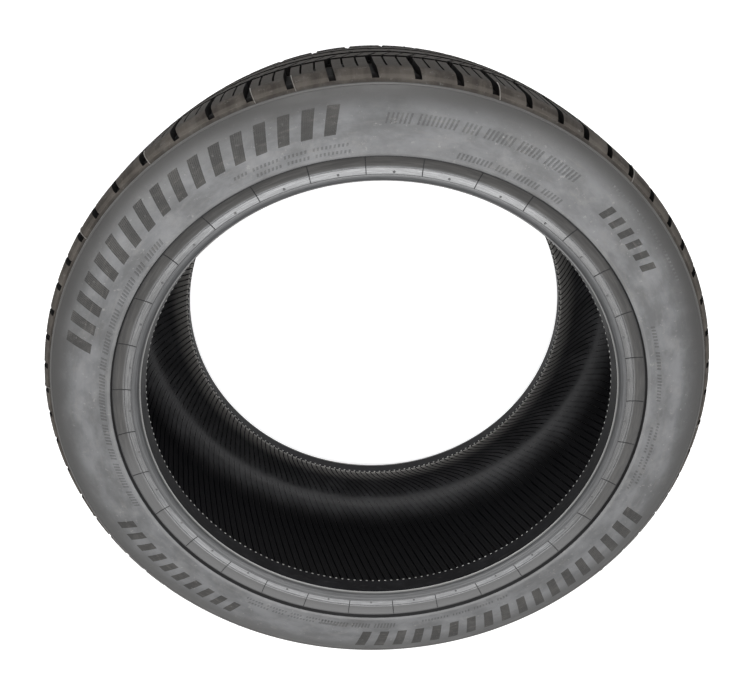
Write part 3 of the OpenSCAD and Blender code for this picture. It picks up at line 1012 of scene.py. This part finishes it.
# Bead: its arcs are painted, with shade on both sides and a highlight at the bottom. The thin dark bands are
# mould joints.
rubber("bead_rubber", (0.13, 0.132, 0.136), (0.25, 0.253, 0.258), (0.22, 0.34), 0.3, film=(0.3, 0.7),
       dusty=0.12, shine=0.6, round_scale=14.0, across_scale=0.9,
       arcs=[(85.0, 55.0, 0.75, SIDE_PAINTED_SHADE), (285.0, 45.0, 0.6, SIDE_PAINTED_SHADE), (195.0, 55.0, 0.35, BOTTOM_PAINTED_HIGHLIGHT)],
       bands=[(255.0, FLANGE_R - 6.0, 1.0, 0.7, (0.085, 0.086, 0.089)),
              (FLANGE_R - 1.2, FLANGE_R + 0.4, 0.4, 0.6, JOINT), (264.2, 265.4, 0.4, 0.6, JOINT)])
# Heel: the pale band at its edge is a painted highlight.
rubber("heel_rubber", (0.052, 0.053, 0.055), (0.085, 0.086, 0.089), (0.34, 0.46), 0.35,
       dusty=0.1, shine=0.45, round_scale=8.0, across_scale=0.6,
       bands=[(250.0, SEAT_R + 1.4, 0.4, 0.6, (0.42, 0.42, 0.41))])
rubber("seat_rubber", (0.008, 0.008, 0.009), (0.016, 0.016, 0.018), (0.45, 0.6), 0.2,
       dusty=0.08, shine=0.07)

# %% The tread, the liner and the small marks
# Tread: the dark brown band is a painted shadow on the strip under the blocks' step. The darkest band, over
# the crown, is painted shade.
rubber("tread_rubber", (0.042, 0.037, 0.033), (0.088, 0.079, 0.07), (0.7, 0.85), 0.35, film=(0.35, 0.7),
       dust=(0.15, 0.13, 0.11), shine=0.04, round_scale=20.0, across_scale=0.1, smeared=0.12,
       bands=[(350.0, 354.8, 1.2, 0.25, PALE_BROWN), (340.0, 350.0, 0.8, 0.3, STEP_SHADOW_BROWN),
              (358.5, 380.0, 2.0, 0.7, (0.024, 0.022, 0.02))])
# Grooves: near black, from their clean rubber plus painted shade in the recesses.
rubber("groove_shade_rubber", (0.004, 0.004, 0.004), (0.009, 0.008, 0.008), (0.65, 0.8), 0.3,
       dust=(0.03, 0.027, 0.024), dusty=0.1, shine=0.03, round_scale=20.0)
# Liner: paler towards the bead and at the toe. The near-black band over the crown is a painted shadow, where
# little light reaches.
rubber("liner_rubber", (0.024, 0.024, 0.026), (0.045, 0.045, 0.048), (0.54, 0.68), 0.15,
       dust=(0.08, 0.077, 0.074), dusty=0.2, shine=0.45, round_scale=9.0, across_scale=0.02,
       bands=[(0.0, 284.0, 18.0, 0.75, (0.16, 0.155, 0.148)), (0.0, 259.5, 2.5, 0.6, (0.4, 0.39, 0.37)),
              (338.0, 380.0, 9.0, 0.92, (0.004, 0.004, 0.005))], matt_from=338.0)
# Liner grooves: near black, as painted shade in the narrow grooves.
rubber("liner_groove_shade", (0.002, 0.002, 0.003), (0.005, 0.005, 0.006), (0.6, 0.7), 0.1,
       dust=(0.02, 0.019, 0.018), dusty=0.1, shine=0.03)
rubber("flash_rubber", (0.16, 0.15, 0.138), (0.26, 0.245, 0.225), (0.45, 0.6), 0.1)
rubber("mark_rubber", (0.012, 0.012, 0.013), (0.025, 0.025, 0.026), (0.5, 0.6), 0.2, dusty=0.1, shine=0.2)
# Fields: darker than the sidewall, as a painted shade for the shade between their ridges.
rubber("field_rubber", (0.05, 0.049, 0.048), (0.075, 0.073, 0.07), (0.55, 0.68), 0.4, shine=0.15,
       smeared=0.1)
rubber("dash_rubber", (0.08, 0.08, 0.081), (0.115, 0.116, 0.118), (0.5, 0.6), 0.25, shine=0.25,
       smeared=0.2)
rubber("rib_end_rubber", (0.35, 0.35, 0.34), (0.5, 0.5, 0.48), (0.5, 0.6), 0.1, dusty=0.1)
print("finishes:", sorted(m.name for m in bpy.data.materials if "rubber" in m.name or "liner" in m.name))

# %% [markdown]
# ## Camera, light and floor
# The camera stands where the photograph was taken from: close to the tyre, a little above the
# axle line, so that the far rings look small. Four soft boxes light it: two over the sidewall, and
# one on either side of the camera, which reach the inside of the far sidewall.

# %% The camera
FOCAL_PX, FRAME_W, FRAME_H = 728.444, 755.0, 681.0
CENTRE_PX = 299.556
DISTANCE, ELEVATION, ROLL = 0.91035, math.radians(28.193), math.radians(-3.418)
AIM = Vector((0.00428, 0.07871, 0.0))

eye = DISTANCE * Vector((0.0, math.sin(ELEVATION), math.cos(ELEVATION)))
back = (eye - AIM).normalized()
right = Vector((0.0, 1.0, 0.0)).cross(back).normalized()
up = back.cross(right)
turn = Matrix((right, up, back)).transposed() @ Matrix.Rotation(ROLL, 3, "Z")
camera_data = bpy.data.cameras.new("camera")
camera_data.sensor_width = 36.0
camera_data.lens = FOCAL_PX * camera_data.sensor_width / FRAME_W
camera_data.shift_y = (CENTRE_PX - FRAME_H / 2) / FRAME_W
camera = bpy.data.objects.new("camera", camera_data)
camera.matrix_world = Matrix.Translation(eye) @ turn.to_4x4()
bpy.context.scene.collection.objects.link(camera)
bpy.context.scene.camera = camera
print("camera at", [round(v, 3) for v in eye], "lens", round(camera_data.lens, 2))


# %% A switch between what is seen and what gives light
def seen_as_background(t):
    """1 for the rays of the camera and those that gloss or glass sends on, and 0 for all others."""
    path = t.add("ShaderNodeLightPath").outputs
    seen = t.math("MAXIMUM", path["Is Camera Ray"], path["Is Glossy Ray"])
    return t.math("MAXIMUM", seen, path["Is Transmission Ray"])


# %% A matt floor that also shines a little where it is seen, so that it comes out near white
FLOOR_R, FLOOR_GLOW = 4.0, 0.7
pale_floor = bpy.data.materials.new("pale_floor")
pale_floor.use_nodes = True
t = Tree(pale_floor.node_tree)
t.nodes.clear()
matt = t.add("ShaderNodeBsdfDiffuse")
t.feed(matt.inputs["Color"], (0.8, 0.8, 0.8))
glow = t.add("ShaderNodeEmission")
t.feed(glow.inputs["Strength"], t.math("MULTIPLY", seen_as_background(t), FLOOR_GLOW))
both = t.add("ShaderNodeAddShader")
t.feed(both.inputs[0], matt.outputs[0])
t.feed(both.inputs[1], glow.outputs[0])
t.feed(t.add("ShaderNodeOutputMaterial").inputs["Surface"], both.outputs[0])

bm = bmesh.new()
bmesh.ops.create_circle(bm, cap_ends=True, segments=64, radius=FLOOR_R)
bmesh.ops.translate(bm, vec=(0.0, 0.0, low.z), verts=bm.verts)
floor_mesh = to_mesh(bm, "floor")
floor = bpy.data.objects.new("floor", floor_mesh)
floor_mesh.materials.append(pale_floor)
bpy.context.scene.collection.objects.link(floor)
print(f"floor at {low.z / MM:.1f} mm")

# %% The world
WORLD_LEVEL = 0.15
world = bpy.data.worlds.new("studio")
bpy.context.scene.world = world
world.use_nodes = True
t = Tree(world.node_tree)
background = t.nodes["Background"]
t.feed(background.inputs["Color"], (1.0, 1.0, 1.0))
t.feed(background.inputs["Strength"], t.spread(seen_as_background(t), 0.0, 1.0, WORLD_LEVEL, 1.0))


# %% The soft boxes
def soft_box(name, place, size, watts):
    """A large rectangular lamp that looks at the middle of the tyre."""
    lamp = bpy.data.lights.new(name, "AREA")
    lamp.shape = "RECTANGLE"
    lamp.size, lamp.size_y = size
    lamp.energy = watts
    holder = bpy.data.objects.new(name, lamp)
    holder.location = place
    holder.rotation_euler = (-Vector(place)).to_track_quat("-Z", "Y").to_euler()
    bpy.context.scene.collection.objects.link(holder)


soft_box("soft_box", (0.1, -0.45, 1.75), (1.0, 0.7), 12.0)
soft_box("top_box", (0.0, 1.25, 1.1), (0.9, 0.5), 8.0)
for side, name, power in ((-1, "left_box", 11.0), (1, "right_box", 9.0)):
    soft_box(name, (0.85 * side, 0.4, 1.35), (0.8, 0.6), power)
bpy.context.scene.view_settings.view_transform = "Standard"
